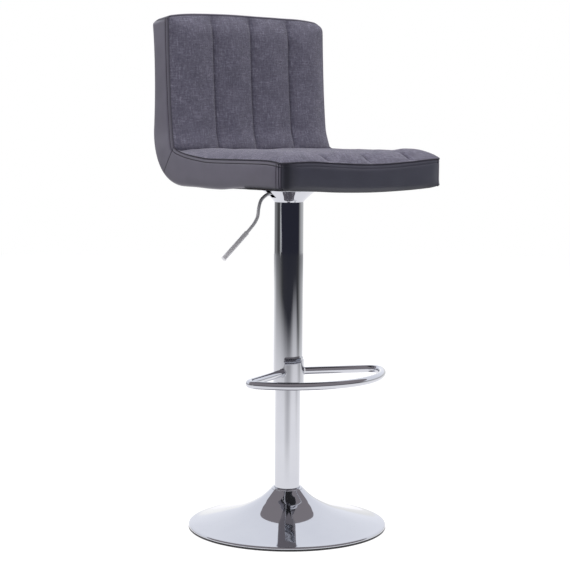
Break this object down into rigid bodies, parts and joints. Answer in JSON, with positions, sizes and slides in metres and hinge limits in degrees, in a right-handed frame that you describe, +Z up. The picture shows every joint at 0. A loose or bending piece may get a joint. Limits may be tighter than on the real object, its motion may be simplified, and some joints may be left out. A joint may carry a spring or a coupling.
{
  "type": "adjustable swivel stool",
  "caption": "Bar stool with an upholstered L-shaped seat and low back on a gas-lift chrome column, swivel, side lever, ring footrest and round trumpet base.",
  "frame": {"origin": "on the floor, on the axis of the column, under the middle of the round base", "axes": "+Z up the column; the sitter faces -Y and the back rest is on the +Y side; +X is the sitter's left, and the release lever points to -X"},
  "size_m": [0.41, 0.4355, 1.055],
  "materials": {
    "chrome": "bright mirror chrome plate",
    "bare_steel": "turned and ground steel",
    "zinc_steel": "bright zinc plate",
    "black_steel": "black powder coat, satin",
    "black_plastic": "moulded black plastic",
    "nylon": "natural moulded nylon",
    "plywood": "raw birch plywood",
    "foam": "cut polyurethane foam",
    "leather": "coated upholstery leather, fine grain, satin",
    "linen": "heathered plain-weave upholstery cloth",
    "dust_cloth": "non-woven black dust cloth"
  },
  "bodies": {
    "base": {"floor_guard": "black_plastic", "base_weight": "bare_steel", "base_cover": "chrome", "flare_seal": "black_plastic", "stand_tube": "chrome", "foot_plug": "bare_steel", "rod_plate": "bare_steel", "clamp_bolt": "zinc_steel", "clamp_washer": "zinc_steel", "guide_bush": "nylon", "bearing_lower_race": "bare_steel"},
    "spindle": {"bearing_cage": "bare_steel", "bearing_upper_race": "bare_steel", "piston_rod": "bare_steel", "rod_clip": "zinc_steel", "piston": "nylon"},
    "seat_unit": {"rod_gland": "bare_steel", "pressure_tube": "black_steel", "outer_sleeve": "chrome", "sleeve_bush": "nylon", "bell": "chrome", "seat_plate": "black_steel", "cylinder_socket": "black_steel", "lever_pivot_pin": "zinc_steel", "footrest_saddle": "chrome", "footrest_ring": "chrome", "seat_board": "plywood", "back_board": "plywood", "frame_strap_right": "black_steel", "frame_strap_left": "black_steel", "seat_strap_screw_right_front": "zinc_steel", "seat_strap_screw_right_rear": "zinc_steel", "seat_strap_screw_left_front": "zinc_steel", "seat_strap_screw_left_rear": "zinc_steel", "back_strap_screw_right_upper": "zinc_steel", "back_strap_screw_right_lower": "zinc_steel", "back_strap_screw_left_upper": "zinc_steel", "back_strap_screw_left_lower": "zinc_steel", "seat_screw_1": "zinc_steel", "seat_screw_2": "zinc_steel", "seat_screw_3": "zinc_steel", "seat_screw_4": "zinc_steel", "tee_nut_1": "zinc_steel", "tee_nut_2": "zinc_steel", "tee_nut_3": "zinc_steel", "tee_nut_4": "zinc_steel", "seat_foam": "foam", "back_foam": "foam", "seat_panel": "linen", "back_panel": "linen", "side_cover_right": "leather", "side_cover_left": "leather", "front_cover": "leather", "rear_cover": "leather", "dust_cover": "dust_cloth"},
    "lever": {"lever_rod": "chrome", "lever_grip": "chrome"},
    "valve": {"valve_pin": "zinc_steel"}
  },
  "joints": [
    {"name": "swivel", "type": "hinge", "parent": "base", "child": "spindle", "pos_m": [0, 0, 0.045], "axis": [0, 0, 1], "continuous": true},
    {"name": "lift", "type": "slide", "parent": "spindle", "child": "seat_unit", "axis": [0, 0, 1], "range_m": [-0.21, 0]},
    {"name": "lever", "type": "hinge", "parent": "seat_unit", "child": "lever", "pos_m": [-0.024, 0, 0.692], "axis": [0, 1, 0], "range_deg": [0, 7], "stiffness_Nm_per_rad": 2, "springref_deg": -11.46},
    {"name": "valve", "type": "slide", "parent": "seat_unit", "child": "valve", "axis": [0, 0, -1], "range_m": [0, 0.003]}
  ],
  "couplings": [
    {"joint": "valve", "follows": "lever", "m_per_rad": 0.0245}
  ]
}
